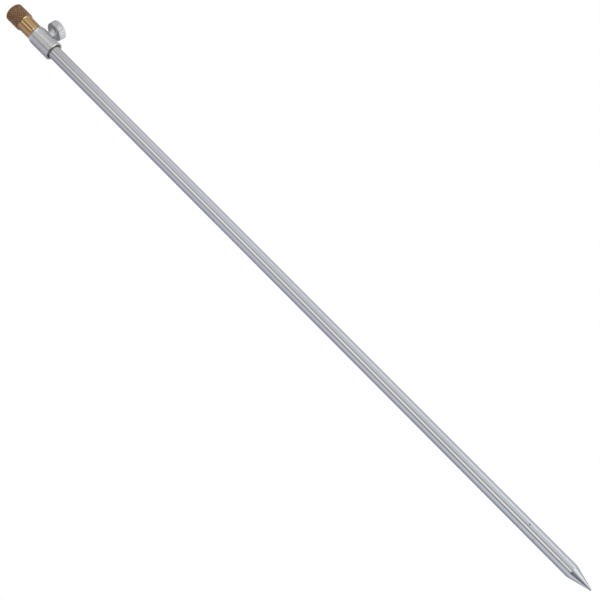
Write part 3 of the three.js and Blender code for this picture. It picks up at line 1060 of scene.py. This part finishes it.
class BANKSTICK_OT_studio(bpy.types.Operator):
    """Sets up the floor, the surroundings, the lamps and the camera"""

    bl_idname = "bankstick.studio"
    bl_label = "Studio"

    def execute(self, context):
        studio = context.scene.bankstick_studio
        self.add_camera(context, studio)
        self.add_floor(studio)
        self.add_surround(context, studio)
        self.add_lamps(context, studio)
        context.scene.view_settings.view_transform = "Standard"
        return {"FINISHED"}

    def add_camera(self, context, studio):
        """The camera looks back along a line at an azimuth and an elevation, turned by its roll."""
        back = direction_at(studio.azimuth, studio.elevation)
        level = Vector((0, 0, 1)).cross(back).normalized()
        upright = back.cross(level)
        right = level * math.cos(studio.roll) + upright * math.sin(studio.roll)
        up = upright * math.cos(studio.roll) - level * math.sin(studio.roll)
        place = Vector((0, 0, studio.aim_height)) + level * studio.aim_side + back * studio.distance
        lens = bpy.data.cameras.new("camera")
        lens.lens = studio.lens
        lens.sensor_width = 36
        lens.clip_start = 0.05
        lens.clip_end = 50
        camera = bpy.data.objects.new("camera", lens)
        context.scene.collection.objects.link(camera)
        camera.matrix_world = Matrix.Translation(place) @ Matrix((right, up, back)).transposed().to_4x4()
        context.scene.camera = camera

    def add_floor(self, studio):
        """A round floor at the stick's point: white to the camera, with shadows, and clear to reflections.
        Its rim is the radius times the cosine and sine of the angle, joined to a vertex in the middle."""
        corner = np.arange(TUBE_COLUMNS)
        angle = 2 * math.pi * corner / TUBE_COLUMNS
        rim = studio.floor_radius * np.stack([np.cos(angle), np.sin(angle), 0 * angle], -1)
        vertices = np.concatenate([rim, [(0, 0, 0)]])
        faces = np.stack([corner, np.roll(corner, -1), np.full(TUBE_COLUMNS, TUBE_COLUMNS)], -1)
        material = bpy.data.materials.new("studio_floor")
        tree = emptied_tree(material)
        paint = add(tree, "BsdfDiffuse", values={"Color": (*linear("#F2F2F2"), 1)})
        path = add(tree, "LightPath")
        seen = {0: path.outputs["Is Camera Ray"]}
        lift = add(tree, "Math", seen, {1: FLOOR_GLOW}, operation="MULTIPLY")
        glow = add(tree, "Emission", {"Strength": lift.outputs["Value"]})
        both = add(tree, "AddShader", {0: paint.outputs["BSDF"], 1: glow.outputs["Emission"]})
        clear = add(tree, "BsdfTransparent")
        sides = {0: path.outputs["Is Glossy Ray"], 1: both.outputs["Shader"], 2: clear.outputs["BSDF"]}
        shown = add(tree, "MixShader", sides)
        add(tree, "OutputMaterial", {"Surface": shown.outputs["Shader"]})
        floor = new_piece("studio_floor", vertices, faces, [material])

    def add_surround(self, context, studio):
        """White to the camera, plain to matt surfaces, and a studio of pale walls, strip lights and dark
        screens to metal. Its colours follow the compass round the stick in layers, each of which takes
        over from the one below it between two heights on the unit sphere."""
        world = bpy.data.worlds.new("studio_surround")
        context.scene.world = world
        tree = emptied_tree(world)
        direction = add(tree, "TexCoord").outputs["Generated"]
        from_camera = {"Rotation": (0, 0, math.pi / 2 - studio.azimuth)}
        turned_round = add(tree, "Mapping", {"Vector": direction}, from_camera).outputs["Vector"]
        compass = add(tree, "TexGradient", {"Vector": turned_round}, gradient_type="RADIAL").outputs["Fac"]
        height = add(tree, "SeparateXYZ", {"Vector": direction}).outputs["Z"]
        around = None
        for begin, full, strength, bands in SURROUND:
            shades = compass_colours(tree, compass, bands)
            lit = add(tree, "VectorMath", {0: shades}, {"Scale": strength}, operation="SCALE")
            layer = lit.outputs["Vector"]
            if around is None:
                around = layer
                continue
            above = add(tree, "MapRange", {"Value": height}, {"From Min": begin, "From Max": full})
            both = {"Factor": above.outputs["Result"], "A": around, "B": layer}
            around = add(tree, "Mix", both, data_type="VECTOR").outputs["Result"]
        in_metal = add(tree, "Background", {"Color": around})
        plain = add(tree, "Background", values={"Color": (1, 1, 1, 1), "Strength": MATT_LIGHT})
        white = add(tree, "Background", values={"Color": (1, 1, 1, 1), "Strength": 1})
        path = add(tree, "LightPath")
        glossy, camera = path.outputs["Is Glossy Ray"], path.outputs["Is Camera Ray"]
        sides = {0: glossy, 1: plain.outputs["Background"], 2: in_metal.outputs["Background"]}
        unseen = add(tree, "MixShader", sides)
        sides = {0: camera, 1: unseen.outputs["Shader"], 2: white.outputs["Background"]}
        all_rays = add(tree, "MixShader", sides)
        add(tree, "OutputWorld", {"Surface": all_rays.outputs["Shader"]})
        world.cycles.sampling_method = "NONE"

    def add_lamps(self, context, studio):
        """Soft square lamps, each at an angle from the camera round the stick. Two are aimed at its upper
        part and light only what is matt. The third faces up from under the thumb screw, and only metal
        shows it: it lights the lower side of the screw's knurl, in a beam too narrow to reach the tube."""
        for name, aim, turn, elevation, distance, side, power, spread, in_metal in LAMPS:
            back = direction_at(studio.azimuth + math.radians(turn), math.radians(elevation))
            light = bpy.data.lights.new(name, "AREA")
            light.shape = "SQUARE"
            light.size = side
            light.energy = power
            light.spread = math.radians(spread)
            lamp = bpy.data.objects.new(name, light)
            context.scene.collection.objects.link(lamp)
            lamp.visible_camera = False
            lamp.visible_glossy = in_metal
            lamp.visible_diffuse = not in_metal
            lamp.location = Vector(aim) + back * distance
            lamp.rotation_euler = back.to_track_quat("Z", "Y").to_euler()


class BANKSTICK_PT_panel(bpy.types.Panel):
    """Lists the pieces and the studio, and the sizes and colours that they are made from"""

    bl_idname = "BANKSTICK_PT_panel"
    bl_label = "Bank Stick"
    bl_space_type = "VIEW_3D"
    bl_region_type = "UI"
    bl_category = "Bank Stick"

    def draw(self, context):
        layout = self.layout
        for operator in OPERATORS:
            layout.operator(operator.bl_idname)
        for group in GROUPS:
            values = getattr(context.scene, group)
            box = layout.box()
            for name in values.bl_rna.properties.keys():
                if name not in ("rna_type", "name"):
                    box.prop(values, name)


GROUPS = {
    "bankstick_sizes": BankStickSizes,
    "bankstick_colours": BankStickColours,
    "bankstick_studio": BankStickStudio,
}
OPERATORS = (
    BANKSTICK_OT_studio,
    BANKSTICK_OT_ground_spike,
    BANKSTICK_OT_tubes,
    BANKSTICK_OT_collar,
    BANKSTICK_OT_brass_head,
    BANKSTICK_OT_thumb_screw,
    BANKSTICK_OT_nylon_parts,
)


def register():
    """Registers the classes and gives the scene its groups of values."""
    for item in (*GROUPS.values(), *OPERATORS, BANKSTICK_PT_panel):
        bpy.utils.register_class(item)
    for name, group in GROUPS.items():
        setattr(bpy.types.Scene, name, PointerProperty(type=group))


def unregister():
    """Undoes what register did, in reverse."""
    for name in reversed(GROUPS):
        delattr(bpy.types.Scene, name)
    for item in reversed((*GROUPS.values(), *OPERATORS, BANKSTICK_PT_panel)):
        bpy.utils.unregister_class(item)


def main():
    """Builds the stick and its studio."""
    register()
    bpy.ops.bankstick.studio()
    bpy.ops.bankstick.ground_spike()
    bpy.ops.bankstick.tubes()
    bpy.ops.bankstick.collar()
    bpy.ops.bankstick.brass_head()
    bpy.ops.bankstick.thumb_screw()
    bpy.ops.bankstick.nylon_parts()


if __name__ == "__main__":
    main()
